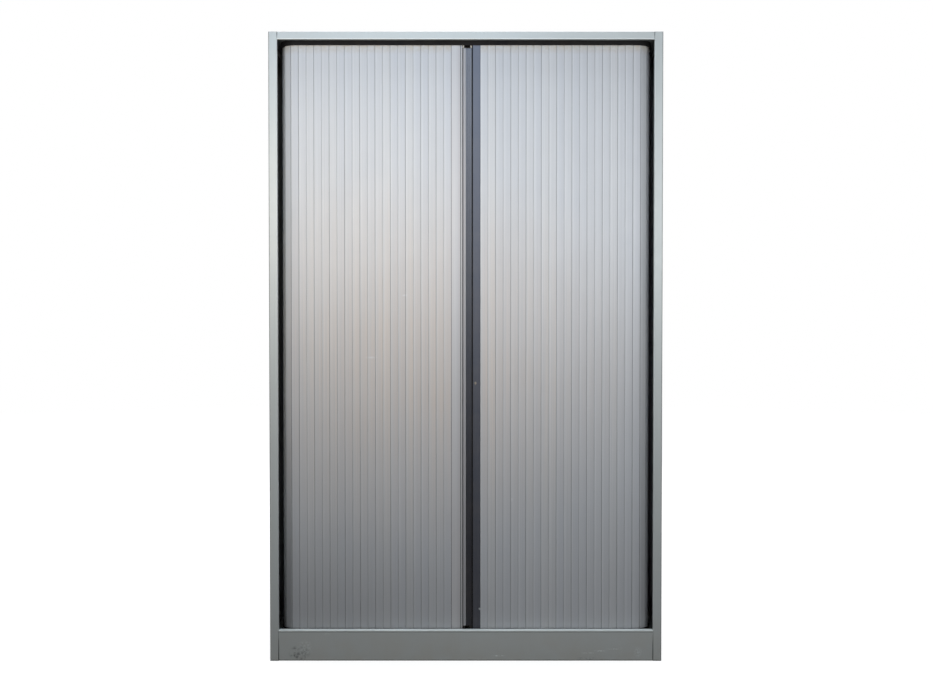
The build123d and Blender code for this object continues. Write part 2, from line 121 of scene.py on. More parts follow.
class SlatSettings(bpy.types.PropertyGroup):
    """Sizes of the curtain slats."""

    width: length("Slat width", "Hinge to hinge", 19.5)
    thickness: length("Thickness", "Face of a slat to its back", 6.0)
    skin: length("Skin", "Wall of the extrusion", 0.6)
    crown: length("Crown", "How far the face stands out between its edges", 0.3)
    edge_round: length("Edge round", "Radius on the long edges of the face", 0.4)
    wide_gap: length("Wide gap", "Half the open line at a clipped hinge", 0.49)
    narrow_gap: length("Narrow gap", "Half the open line at a moulded hinge", 0.25)
    bead: length("Bead", "Radius of the bead that turns in the next slat's claw", 1.1)
    play: length("Play", "Bead to claw", 0.15)
    claw: length("Claw", "Wall of the claw", 0.65)
    mouth: length("Mouth", "Hinge to the tip of the claw's lip", 0.7)
    neck: length("Neck", "Thickness of the neck behind the bead", 0.8)
    neck_length: length("Neck length", "Hinge to the slat's own wall", 2.3)
    first_hinge: length("First hinge", "Middle of the case to the first hinge", 37.0)
    track_radius: length("Track radius", "Centreline of the groove round the corner", 38.0)
    groove_inset: length("Groove inset", "Outer edge of the track to the groove's centreline", 6.5)
    front_slats: IntProperty(
        name="Front slats",
        description="Slats of a shut door that stand in the front run",
        default=20,
        min=1,
    )
    pocket_slats: IntProperty(
        name="Pocket slats",
        description="Slats of a shut door that stand round the corner",
        default=7,
        min=1,
    )
    # Reach of the painted highlight along each slat's left edge.
    edge_highlight: length("Rub", "Reach of the bright rubbed edge", 5.0)
    lean: FloatProperty(
        name="Lean",
        description="Most that a slat turns in the play of its hinge",
        default=radians(0.22),
        subtype="ANGLE",
    )


class StileSettings(bpy.types.PropertyGroup):
    """Sizes of the two closing stiles."""

    grip_start: length("Grip start", "Middle of the case to the start of the grip", 8.0)
    nose_rise: length("Nose rise", "Grip in front of the slat faces", 4.0)
    nose_width: length("Nose width", "Bright nose of the grip", 6.6)
    nose_shoulder: length("Shoulder", "Slope beside the nose", 1.5)
    nose_round: length("Nose round", "Radius on the nose and the closing edge", 0.8)
    edge_rise: length("Edge rise", "Closing edge in front of the slat faces", 2.8)
    edge_width: length("Edge width", "Closing edge beside the strip", 3.0)
    reach: length("Reach", "Closing edge past the middle of the case", 15.0)
    channel: length("Channel", "Depth of the strip's seat behind the slat faces", 1.6)
    flute_width: length("Flute width", "Groove beside the grip", 1.6)
    flute_depth: length("Flute depth", "Groove beside the grip", 1.1)
    flute_spacing: length("Flute spacing", "Groove to groove", 4.8)
    strip_sink: length("Strip sink", "Strip's face below the closing edge", 0.8)
    cap: length("Cap", "Wall of the strip where it wraps the closing edge", 1.2)
    rib_height: length("Rib height", "Ribs along the strip", 0.5)
    rib_width: length("Rib width", "Ribs along the strip", 0.9)
    rib_spacing: length("Rib spacing", "Rib to rib", 4.4)
    right_start: length("Right stile", "Middle of the case to the right stile", 18.0)
    right_round: length("Right round", "Radius on the right stile's closing edge", 1.4)
    seal: length("Seal", "Thickness of the rubber bead", 2.6)
    seal_reach: length("Seal reach", "Rubber bead past the right stile", 2.65)


class FootSettings(bpy.types.PropertyGroup):
    """Sizes of the levelling feet."""

    pad_radius: length("Pad radius", "Across the corners of the pad, halved", 20.0)
    pad_height: length("Pad height", "Thickness of the pad", 6.0)
    rim_round: length("Rim round", "Radius on the pad's rims", 1.0)
    stud_radius: length("Stud radius", "Crest of the thread", 5.0)
    stud_length: length("Stud length", "Pad to the top of the stud", 54.0)
    pitch: length("Pitch", "Crest to crest of the thread", 1.5)
    thread_depth: length("Thread depth", "Crest to root", 0.9)


class FinishSettings(bpy.types.PropertyGroup):
    """Colours of the finishes."""

    enamel: colour("Enamel", "Silver-grey stoved enamel of the case", "b3b8b7")
    slat: colour("Slats", "Silver-pigmented plastic of the curtains", "b6b8bb")
    # Painted warm light: the slats' tone round the middle of the curtains.
    slat_warm_light_tone: colour("Yellowed slats", "Slat plastic that daylight has turned", "c4b8ae")
    silver: colour("Silver stile", "Satin anodised aluminium of the left stile", "b4b4b6")
    grip: colour("Grip", "Anodised aluminium dulled by hands", "9a9a9d")
    anthracite: colour("Anthracite stile", "Dark plastic of the right stile", "3e4048")
    # Painted light: the right stile's lighter tone at its top.
    anthracite_painted_top_light: colour("Bleached anthracite", "The right stile's tone at its top", "666d7c")
    strip: colour("Grip strip", "Dark plastic of the ribbed strip", "232429")
    # Painted light: the strip's lighter tone at its top.
    strip_painted_top_light: colour("Bleached strip", "The strip's tone at its top", "757b86")
    track: colour("Tracks", "Black plastic of the tracks", "0a0a0d")
    nylon: colour("Nylon", "Natural nylon where the glides run clean", "d8d4c8")
    nylon_dark: colour("Greased nylon", "Glides under dark grease", "1d1c1c")
    rubber: colour("Rubber", "Black rubber of the seal", "0f0f11")
    zinc: colour("Zinc", "Zinc-plated steel of clips, nuts and feet", "b9bcbe")
    dust: colour("Dust", "Dry dust and rubbed dirt", "a89c8a")


class StudioSettings(bpy.types.PropertyGroup):
    """Camera and lamps."""

    lens: FloatProperty(
        name="Lens",
        description="Focal length on a 36 mm sensor",
        default=40.0,
        unit="CAMERA",
    )
    camera_place: FloatVectorProperty(
        name="Camera place",
        description="Where the camera stands",
        default=(0.0018, -2.85, 0.8405),
        subtype="TRANSLATION",
    )
    camera_tilt: FloatProperty(
        name="Camera tilt",
        description="How far the camera looks down",
        default=radians(1.0),
        subtype="ANGLE",
    )
    left_key: power("Left key", "Soft box front left", 6.9)
    right_key: power("Right key", "Soft box front right", 8.7)
    high_key: power("High key", "Soft box high front left", 4.2)
    overhead: power("Overhead", "Strip light above the front", 16.0)
    side: power("Sides", "Soft boxes beside the case", 60.0)
    rear: power("Rear", "Soft box behind the case", 60.0)
    ambient: FloatProperty(name="Ambient", description="Light of the room", default=0.02, min=0.0)


class CupboardSettings(bpy.types.PropertyGroup):
    """All settings of the cupboard."""

    slats: PointerProperty(type=SlatSettings)
    stiles: PointerProperty(type=StileSettings)
    feet: PointerProperty(type=FootSettings)
    finishes: PointerProperty(type=FinishSettings)
    studio: PointerProperty(type=StudioSettings)


# ------------------------------------------------------------------ surfaces
def rounded(corners, radii, steps=5):
    """Closed outline whose corners are arcs.

    At a corner with unit vectors a and b along its two sides and the angle w between them, the arc
    starts and ends r / tan(w / 2) from the corner, its centre lies r / sin(w / 2) from it on the
    bisector, and its points are spherical blends of the two end directions.
    """
    points = np.array(corners, float)
    radii = np.broadcast_to(np.asarray(radii, float), len(points))[:, None]
    back = np.roll(points, 1, axis=0) - points
    ahead = np.roll(points, -1, axis=0) - points
    back /= np.linalg.norm(back, axis=1, keepdims=True)
    ahead /= np.linalg.norm(ahead, axis=1, keepdims=True)
    half = np.arccos(np.clip((back * ahead).sum(1, keepdims=True), -1, 1)) / 2
    bisector = back + ahead
    bisector /= np.linalg.norm(bisector, axis=1, keepdims=True)
    centres = points + bisector * radii / np.sin(half)
    start = (points + back * radii / np.tan(half) - centres) / radii
    end = (points + ahead * radii / np.tan(half) - centres) / radii
    turn = pi - 2 * half
    share = np.linspace(0, 1, steps)[None, :, None]
    weight_start = np.sin((1 - share) * turn[:, None]) / np.sin(turn[:, None])
    weight_end = np.sin(share * turn[:, None]) / np.sin(turn[:, None])
    arcs = weight_start * start[:, None] + weight_end * end[:, None]
    return (centres[:, None] + arcs * radii[:, None]).reshape(-1, 2)


def anticlockwise(outlines):
    """The outlines with each one's points in the order that puts its area above zero."""
    after = np.roll(outlines, -1, axis=1)
    area = (outlines[..., 0] * after[..., 1] - outlines[..., 1] * after[..., 0]).sum(1)
    return np.where((area < 0)[:, None, None], outlines[:, ::-1], outlines)


def mesh_object(name, vertices, faces):
    """Object at the origin from vertex places and face indices, smooth except at folds over 35 degrees."""
    mesh = bpy.data.meshes.new(name)
    mesh.from_pydata(np.asarray(vertices).reshape(-1, 3).tolist(), [], faces)
    mesh.polygons.foreach_set("use_smooth", np.ones(len(mesh.polygons), bool))
    mesh.set_sharp_from_angle(angle=radians(35))
    mesh.update()
    made = bpy.data.objects.new(name, mesh)
    bpy.context.scene.collection.objects.link(made)
    return made


def walls(number):
    """Quads that join each ring of vertex numbers to the next one, from i to i + 1 along the rings."""
    following = np.roll(number, -1, axis=-1)
    lower = (number[..., :-1, :], following[..., :-1, :])
    upper = (following[..., 1:, :], number[..., 1:, :])
    return np.stack(lower + upper, axis=-1).reshape(-1, 4).tolist()


def bars(name, outlines, low, high):
    """Upright bars: each closed outline of XY points carried straight up from low to high.

    Vertex (bar, level, i) is outline point i of that bar at that level, and an end is one face with
    the outline's points in order.
    """
    outlines = anticlockwise(np.asarray(outlines, float))
    count, size = outlines.shape[:2]
    vertices = np.zeros((count, 2, size, 3))
    vertices[..., :2] = outlines[:, None]
    vertices[:, 0, :, 2] = low
    vertices[:, 1, :, 2] = high
    number = np.arange(count * 2 * size).reshape(count, 2, size)
    ends = number[:, 0, ::-1].tolist() + number[:, 1].tolist()
    return mesh_object(name, vertices, walls(number) + ends)


def turned(name, rings):
    """Closed surface through rings of points: quads between rings, a fan to the middle of each end ring."""
    rows, size = rings.shape[:2]
    number = np.arange(rows * size).reshape(rows, size)
    following = np.roll(number, -1, axis=1)
    poles = np.stack((rings[0].mean(0), rings[-1].mean(0)))
    vertices = np.concatenate((rings.reshape(-1, 3), poles))
    foot = np.full(size, rows * size)
    head = foot + 1
    faces = walls(number)
    faces += np.stack((following[0], number[0], foot), axis=-1).tolist()
    faces += np.stack((number[-1], following[-1], head), axis=-1).tolist()
    return mesh_object(name, vertices, faces)


def claw_corners(slats, hinge):
    """Corners of a claw that opens towards +X, from the front of its lip round to its back wall."""
    bore = slats.bead + slats.play
    outside = bore + slats.claw
    half = slats.claw / 2
    chamfer = 0.5 * MM
    corners = [
        (bore - chamfer, -outside),
        (bore, chamfer - outside),
        (bore, -slats.mouth),
        (bore - half, -slats.mouth),
        (bore - half, -bore),
        (-bore, -bore),
        (-bore, bore),
        (half, bore),
        (half, outside),
        (-bore - half, outside),
    ]
    return [(hinge[0] + x, hinge[1] + y) for x, y in corners]


def slat_outline(slats, near_gap, far_gap):
    """Outline of a slat along +X from its hinge: bead and neck, face, claw round the next hinge.

    The face lies at y = -(t / 2 - c) - c * (1 - u ** 4), where t is the thickness, c the crown and
    u runs from -1 to 1 across the face, so it is nearly flat and falls away at its edges.
    """
    edge = slats.thickness / 2 - slats.crown
    skin_back = edge - slats.skin
    rear = slats.thickness / 2
    far_edge = slats.width - far_gap
    far_wall = slats.width - slats.bead - slats.play - slats.claw / 2
    outside = slats.bead + slats.play + slats.claw
    neck = slats.neck / 2
    bead = slats.bead
    shoulder = (bead**2 - neck**2) ** 0.5
    # The bead's circle as six corners, in shares of its radius.
    behind = [(0.35, 0.94), (-0.45, 0.9), (-1.0, 0.35)]
    before = [(x, -y) for x, y in reversed(behind)]
    corners = [(near_gap, -edge), (far_edge, -edge), (far_edge, -outside)]
    corners += claw_corners(slats, (slats.width, 0))
    corners += [(far_wall, rear), (slats.neck_length, rear), (slats.neck_length, neck), (shoulder, neck)]
    corners += [(x * bead, y * bead) for x, y in behind + before]
    corners += [
        (shoulder, -neck),
        (slats.neck_length, -neck),
        (slats.neck_length, -skin_back),
        (near_gap, -skin_back),
    ]
    radii = np.full(len(corners), SHARP)
    radii[:2] = slats.edge_round
    steps = 5
    outline = rounded(corners, radii, steps)
    run = np.linspace(0, 1, 20)[1:-1, None]
    face = outline[steps - 1] * (1 - run) + outline[steps] * run
    outline = np.concatenate((outline[:steps], face, outline[steps:]))
    across = (outline[:, 0] - slats.width / 2) / (slats.width / 2 - near_gap)
    crown = slats.crown * (1 - np.clip(np.abs(across), 0, 1) ** 4)
    outline[:, 1] -= np.where(outline[:, 1] < -skin_back - slats.skin / 2, crown, 0)
    return outline


def track_point(distance, side_x, front_y, radius):
    """Point of the right-hand groove's centreline: along the front, round a quarter circle, down the side."""
    straight = side_x - radius
    turn = np.clip((distance - straight) / radius, 0, pi / 2)
    beyond = np.maximum(distance - straight - radius * pi / 2, 0)
    x = np.minimum(distance, straight) + radius * np.sin(turn)
    y = front_y + radius * (1 - np.cos(turn)) + beyond
    return np.stack((x, y), axis=-1)


def hinge_places(slats, side_x, front_y):
    """Hinges a slat's width apart, measured straight, found along the centreline by forty halvings."""
    distances = [slats.first_hinge]
    for _ in range(slats.front_slats + slats.pocket_slats):
        here = track_point(np.array(distances[-1]), side_x, front_y, slats.track_radius)
        near, far = distances[-1] + slats.width, distances[-1] + slats.width * 1.2
        for _ in range(40):
            middle = (near + far) / 2
            there = track_point(np.array(middle), side_x, front_y, slats.track_radius)
            near, far = (middle, far) if np.hypot(*(there - here)) < slats.width else (near, middle)
        distances.append(near)
    return track_point(np.array(distances), side_x, front_y, slats.track_radius)


def curtain(name, slats, first, last, hand, lean):
    """Slats first to last of one door: each outline turned to its chord and moved to its hinge.

    A point p of an outline goes to hinge + R(a) p, where a is the heading from hinge to hinge plus a
    small lean, and the left door's curtain is the right one's with X reversed. The points carry the
    slat's own tone, how deep they lie in a joint, from 0 on the face to 1, and exp(-d / r), where
    d is the distance from the slat's left edge and r the reach of a painted highlight along that edge.
    """
    low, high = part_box(f"{hand}_front_slats")
    groove_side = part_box("bottom_rail_right")[1].x - slats.groove_inset
    front_y = low.y + slats.thickness / 2
    hinges = hinge_places(slats, groove_side, front_y)
    clipped = slat_outline(slats, slats.wide_gap, slats.narrow_gap)
    moulded = slat_outline(slats, slats.narrow_gap, slats.wide_gap)
    numbers = np.arange(first, last)
    chords = hinges[numbers + 1] - hinges[numbers]
    heading = np.arctan2(chords[:, 1], chords[:, 0]) + lean[numbers]
    outlines = np.where((numbers % 2 == 0)[:, None, None], clipped, moulded)
    x = np.cos(heading)[:, None] * outlines[..., 0] - np.sin(heading)[:, None] * outlines[..., 1]
    y = np.sin(heading)[:, None] * outlines[..., 0] + np.cos(heading)[:, None] * outlines[..., 1]
    placed = np.stack((x, y), axis=-1) + hinges[numbers][:, None]
    if hand == "left":
        placed[..., 0] *= -1
    # The mirror turns the outlines round, so their points are taken in the order that bars gives them.
    marks = np.concatenate((placed, outlines), axis=-1)
    turned_round = anticlockwise(placed)
    flipped = np.abs(turned_round[:, :1] - placed[:, :1]).max(axis=2, keepdims=True) > 0
    marks = np.where(flipped, marks[:, ::-1], marks)
    made = bars(name, placed, low.z, high.z)
    tones = np.random.default_rng(11 if hand == "left" else 12).uniform(0, 1, len(numbers))
    # The painted shade of a joint starts 0.4 mm behind the face and is at its darkest 0.5 mm further in.
    depth = marks[..., 3] + slats.thickness / 2
    joint = np.clip((depth - 0.4 * MM) / (0.5 * MM), 0, 1)
    from_edge = slats.width - marks[..., 2] if hand == "left" else marks[..., 2]
    # Painted highlight along each slat's left edge, fading over its reach and gone in the joints.
    edge_highlight = np.exp(-from_edge / slats.edge_highlight) * (1 - joint)
    tone = np.broadcast_to(tones[:, None], joint.shape)
    for label, values in (("slat_tone", tone), ("slat_joint", joint), ("slat_edge_highlight", edge_highlight)):
        both_ends = np.repeat(values[:, None], 2, axis=1).reshape(-1).astype(np.float32)
        made.data.attributes.new(label, "FLOAT", "POINT").data.foreach_set("value", both_ends)
    return made


# ------------------------------------------------------------------ finishes
def add_node(tree, kind, settings=None, inputs=None):
    """Adds a node, sets its own settings, and gives each named or numbered input a value or a link."""
    node = tree.nodes.new(kind)
    for name, value in (settings or {}).items():
        setattr(node, name, value)
    for name, value in (inputs or {}).items():
        if isinstance(value, bpy.types.NodeSocket):
            tree.links.new(value, node.inputs[name])
        else:
            node.inputs[name].default_value = value
    return node


def blank_material(name):
    """Empty node material: its tree, and the object coordinates that its patterns read."""
    material = bpy.data.materials.new(name)
    material.use_nodes = True
    material.node_tree.nodes.clear()
    place = add_node(material.node_tree, "ShaderNodeTexCoord").outputs["Object"]
    return material, material.node_tree, place


def close_material(tree, surface):
    """Joins the finished shader to the material's output."""
    add_node(tree, "ShaderNodeOutputMaterial", inputs={"Surface": surface.outputs[0]})


def shade(tone, factor):
    """A colour made lighter or darker by a factor, kept under white."""
    return tuple(min(1.0, channel * factor) for channel in tone[:3]) + (1.0,)


def coat(tree, base, tone, *shares):
    """The base colour covered with another tone, as far as the product of the shares says."""
    share = shares[0]
    for other in shares[1:]:
        share = add_node(tree, "ShaderNodeMath", {"operation": "MULTIPLY"}, {0: share, 1: other}).outputs[0]
    return add_node(tree, "ShaderNodeMix", {"data_type": "RGBA"}, {0: share, 6: base, 7: tone}).outputs[2]


def mottle(tree, place, size, low, high, detail=3.0, stretch=(1, 1, 1)):
    """Soft noise with features of that size in metres, spread from low to high."""
    moved = add_node(tree, "ShaderNodeMapping", inputs={"Vector": place, "Scale": stretch})
    noise = add_node(
        tree,
        "ShaderNodeTexNoise",
        inputs={"Vector": moved.outputs[0], "Scale": 1 / size, "Detail": detail, "Roughness": 0.55},
    )
    spread = {"Value": noise.outputs["Fac"], "From Min": 0.3, "From Max": 0.7, "To Min": low, "To Max": high}
    return add_node(tree, "ShaderNodeMapRange", inputs=spread).outputs[0]


def patch(tree, place, centre, half_size, softness=0.5):
    """Soft-edged spot: 1 inside an ellipsoid of that half size round centre, 0 outside it."""
    kind = "ShaderNodeVectorMath"
    off = add_node(tree, kind, {"operation": "SUBTRACT"}, {0: place, 1: centre})
    scaled = add_node(tree, kind, {"operation": "DIVIDE"}, {0: off.outputs[0], 1: half_size})
    distance = add_node(tree, kind, {"operation": "LENGTH"}, {0: scaled.outputs[0]}).outputs["Value"]
    fall = {"Value": distance, "From Min": 1 - softness, "From Max": 1, "To Min": 1, "To Max": 0}
    return add_node(tree, "ShaderNodeMapRange", inputs=fall).outputs[0]


def climb(tree, place, axis, start, end, first, last):
    """Value that goes from first to last while that axis goes from start to end, in metres."""
    along = add_node(tree, "ShaderNodeSeparateXYZ", inputs={0: place}).outputs[axis]
    limits = {"Value": along, "From Min": start, "From Max": end, "To Min": first, "To Max": last}
    return add_node(tree, "ShaderNodeMapRange", inputs=limits).outputs[0]


def surfaced(material, tree, base, roughness, relief, depth, strength, others=None):
    """The material with its shader: a colour, a roughness and a relief of that depth in metres."""
    heights = {"Height": relief, "Distance": depth, "Strength": strength}
    normal = add_node(tree, "ShaderNodeBump", inputs=heights).outputs[0]
    values = {"Base Color": base, "Roughness": roughness, "Normal": normal}
    close_material(tree, add_node(tree, "ShaderNodeBsdfPrincipled", inputs={**values, **(others or {})}))
    return material


def stoved_enamel(name, tone, dust, painted_light=(), scuffs=()):
    """Stoved enamel on steel sheet: sprayed, then baked.

    It gives a satin skin with a faint orange peel, aluminium flake that makes the tone drift a little,
    dust low down, even marks of painted shade and painted highlight in seams, corners and along folds,
    and broken scuffs where shoes and mops reach it.
    """
    material, tree, place = blank_material(name)
    base = coat(tree, shade(tone, 0.96), shade(tone, 1.04), mottle(tree, place, 350 * MM, 0, 1))
    # Real flake is about 0.05 mm. It is drawn at 2.5 mm so that it shows at all.
    base = coat(tree, base, shade(tone, 1.25), mottle(tree, place, 2.5 * MM, 0, 0.1, detail=1.0))
    low_down = climb(tree, place, "Z", 0.0, 0.12, 0.35, 0.0)
    base = coat(tree, base, dust, low_down, mottle(tree, place, 50 * MM, 0.2, 1, detail=6))
    # Even marks of painted light: shade in seams, corners and under folds, highlights on folds.
    for centre, half_size, mark in painted_light:
        spot = patch(tree, place, centre, half_size, 0.3)
        base = coat(tree, base, mark, spot, mottle(tree, place, 60 * MM, 0.75, 1))
    for centre, half_size, grain, strength, mark in scuffs:
        broken = mottle(tree, place, grain, -0.5 * strength, strength, detail=5)
        base = coat(tree, base, mark, patch(tree, place, centre, half_size), broken)
    roughness = mottle(tree, place, 20 * MM, 0.36, 0.46)
    peel = mottle(tree, place, 1.8 * MM, 0, 1, detail=1.0)
    return surfaced(material, tree, base, roughness, peel, 0.02 * MM, 0.35, {"Metallic": 0.02})


def slat_plastic(name, tone, warm_light_tone, dust):
    """Impact polystyrene with silver pigment, extruded.

    It gives a soft sheen, fine die lines along each slat, a tone that differs a little from slat to
    slat, a painted pool of warm light round the middle, a painted highlight along each slat's left edge
    and on the left corner's slat, painted shade low on the left door, in the joints and in the last
    20 mm below the top track, and a few nicks.
    """
    material, tree, place = blank_material(name)
    of_slat, painted_edge_highlight, painted_joint_shade = [
        add_node(tree, "ShaderNodeAttribute", {"attribute_name": label}).outputs["Fac"]
        for label in ("slat_tone", "slat_edge_highlight", "slat_joint")
    ]
    # The lighter a slat is, the warmer its tone.
    own_tone, warm_lit = [
        coat(
            tree,
            (plain[0] * 0.94, plain[1] * 0.955, plain[2] * 0.985, 1.0),
            (plain[0] * 1.05, plain[1] * 1.04, plain[2] * 1.015, 1.0),
            of_slat,
        )
        for plain in (tone, warm_light_tone)
    ]
    light = shade(tone, 1.3)
    # Painted warm light: the curtains turn warmer round the middle.
    painted_warm_light = patch(tree, place, (-0.13, SLAT_FACE, 0.77), (0.66, 0.5, 0.5), 0.8)
    base = coat(tree, own_tone, warm_lit, painted_warm_light)
    # Painted highlight along each slat's left edge, broken up along its length.
    painted_light = mottle(tree, place, 120 * MM, 0.55, 1.0, stretch=(1, 1, 0.2))
    base = coat(tree, base, light, painted_edge_highlight, painted_light)
    # Die lines 2 mm apart and half a metre long. Real ones are finer and would not show.
    lines = mottle(tree, place, 2 * MM, 0, 0.6, detail=2.0, stretch=(1, 1, 0.004))
    base = coat(tree, base, shade(tone, 0.88), lines)
    base = coat(tree, base, shade(tone, 1.1), mottle(tree, place, 250 * MM, 0, 0.3))
    # Painted shade low on the left door.
    painted_shade_low_left = patch(tree, place, (-0.42, SLAT_FACE, 0.08), (0.52, 0.5, 0.3), 0.9)
    base = coat(tree, base, shade(tone, 0.6), painted_shade_low_left, 0.5)
    # A painted highlight on the slat at the left corner.
    corner = patch(tree, place, (-0.4575, -0.189, 1.3), (0.0115, 0.013, 1.15), 0.5)
    base = coat(tree, base, light, corner, 0.5)
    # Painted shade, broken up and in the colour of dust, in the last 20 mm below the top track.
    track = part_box("top_rail_right")[0].z
    painted_shade_below_track = climb(tree, place, "Z", track - 22.5 * MM, track - 2.5 * MM, 0.0, 0.75)
    base = coat(tree, base, dust, painted_shade_below_track, mottle(tree, place, 7 * MM, 0.25, 1, detail=4))
    for x, z, half_size in (
        (-0.156, 0.934, (0.009, 0.01, 0.0035)),
        (-0.242, 0.775, (0.018, 0.01, 0.0035)),
        (0.118, 0.41, (0.003, 0.01, 0.006)),
    ):
        nick = patch(tree, place, (x, SLAT_FACE, z), half_size, 0.8)
        base = coat(tree, base, light, nick, mottle(tree, place, 2.5 * MM, 0.2, 0.8))
    # Painted shade deep in the joints between the slats.
    base = coat(tree, base, shade(tone, 0.38), painted_joint_shade, 0.9)
    roughness = mottle(tree, place, 30 * MM, 0.4, 0.5)
    # Grain 0.9 mm wide. The real one is about 0.1 mm and would not show.
    grain = mottle(tree, place, 0.9 * MM, 0, 1, detail=2.0, stretch=(1, 1, 0.01))
    return surfaced(material, tree, base, roughness, grain, 0.03 * MM, 0.3)


def drawn_metal(name, tone):
    """Aluminium, extruded, satin anodised.

    It gives a broad highlight, hairlines along the length, painted shade deep in the flutes behind the
    face, and a darker zone beside the grip. Its film of oxide hides most of the metal, so it is
    hardly metallic.
    """
    material, tree, place = blank_material(name)
    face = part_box("left_front_slats")[0].y
    # Hairlines 1 mm apart. Real ones are finer and would not show.
    hairs = mottle(tree, place, 1 * MM, 0, 1, detail=3.0, stretch=(1, 1, 0.004))
    base = coat(tree, shade(tone, 0.94), shade(tone, 1.05), hairs)
    base = coat(tree, base, shade(tone, 0.92), mottle(tree, place, 180 * MM, 0, 0.4))
    # Darker beside the grip.
    beside_grip = patch(tree, place, (-0.01, face, 0.8), (0.017, 0.02, ENDLESS), 0.9)
    base = coat(tree, base, shade(tone, 0.8), beside_grip, 0.9)
    # Painted shade deep in the flutes.
    painted_flute_shade = climb(tree, place, "Y", face + 0.3 * MM, face + 0.9 * MM, 0.0, 0.9)
    base = coat(tree, base, shade(tone, 0.12), painted_flute_shade)
    roughness = mottle(tree, place, 20 * MM, 0.4, 0.5)
    return surfaced(material, tree, base, roughness, hairs, 0.02 * MM, 0.3, {"Metallic": 0.06})


def plated_steel(name, tone):
    """Mild steel, zinc plated and passivated.

    It gives a bright bluish metal, cloudy from the bath.
    """
    material, tree, place = blank_material(name)
    clouds = mottle(tree, place, 6 * MM, 0, 1, detail=4.0)
    base = coat(tree, shade(tone, 0.82), shade(tone, 1.05), clouds)
    roughness = mottle(tree, place, 4 * MM, 0.3, 0.5)
    return surfaced(material, tree, base, roughness, clouds, 0.02 * MM, 0.2, {"Metallic": 0.85})


def moulded_plastic(name, tone, dust, roughness, dust_share, specular, marks=(), painted_top_light=None):
    """PVC, nylon or rubber, extruded or moulded.

    It gives a low sheen with fine grain, dust that stays in its corners, and on tall pieces painted
    light that makes the tone lighter towards the top.
    """
    material, tree, place = blank_material(name)
    # Streaks 1.5 mm and grain 0.8 mm wide. Real ones are about 0.1 mm and would not show.
    streaks = mottle(tree, place, 1.5 * MM, 0, 1, detail=3.0, stretch=(1, 1, 0.01))
    base = coat(tree, shade(tone, 0.9), shade(tone, 1.1), streaks)
    # Painted light: the tone grows lighter towards the top.
    if painted_top_light:
        upwards = climb(tree, place, "Z", 0.1, 1.55, 0.0, 1.0)
        base = coat(tree, base, painted_top_light, upwards, upwards)
    base = coat(tree, base, dust, mottle(tree, place, 30 * MM, 0, dust_share, detail=6.0))
    for centre, half_size, mark in marks:
        nick = patch(tree, place, centre, half_size, 0.7)
        base = coat(tree, base, mark, nick, mottle(tree, place, 2 * MM, 0.1, 1))
    sheen = mottle(tree, place, 10 * MM, roughness - 0.06, roughness + 0.06)
    grain = mottle(tree, place, 0.8 * MM, 0, 1, detail=2.0)
    return surfaced(material, tree, base, sheen, grain, 0.03 * MM, 0.25, {"Specular IOR Level": specular})


def give(names, material):
    """Puts the material in every slot of the named objects."""
    for name in names:
        found = bpy.data.objects[name]
        if not found.material_slots:
            found.data.materials.append(material)
        for place in found.material_slots:
            place.material = material


# ------------------------------------------------------------------ operators
class CUPBOARD_OT_curtains(bpy.types.Operator):
    """Makes both doors' curtains of front slats."""

    bl_idname = "cupboard.curtains"
    bl_label = "Curtains"

    def execute(self, context):
        slats = context.scene.cupboard.slats
        total = slats.front_slats + slats.pocket_slats
        for seed, hand in ((3, "left"), (4, "right")):
            lean = np.random.default_rng(seed).uniform(-slats.lean, slats.lean, total)
            made = curtain(f"{hand}_curtain", slats, 0, slats.front_slats, hand, lean)
            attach(made, f"{hand}_door")
            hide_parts(f"{hand}_front_slats")
            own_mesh(made)
        return {"FINISHED"}


class CUPBOARD_OT_pockets(bpy.types.Operator):
    """Makes the slats of both doors that stand round the corners."""

    bl_idname = "cupboard.pockets"
    bl_label = "Pocket slats"

    def execute(self, context):
        slats = context.scene.cupboard.slats
        first = slats.front_slats
        last = first + slats.pocket_slats
        for hand in ("left", "right"):
            made = curtain(f"{hand}_pocket_curtain", slats, first, last, hand, np.zeros(last))
            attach(made, "carcass")
            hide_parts(f"{hand}_pocket_slats")
        return {"FINISHED"}


def hinge_side(slats, face):
    """Corners of a stile's hinge side: its face, the edge that falls away, the claw and the back."""
    middle = face + slats.thickness / 2
    root = slats.first_hinge - slats.bead - slats.play - slats.claw / 2
    tip = slats.first_hinge - slats.wide_gap
    lip = middle - slats.bead - slats.play - slats.claw
    corners = [(root, face), (tip, face + slats.crown), (tip, lip)]
    corners += claw_corners(slats, (slats.first_hinge, middle))
    return corners + [(root, face + slats.thickness)]


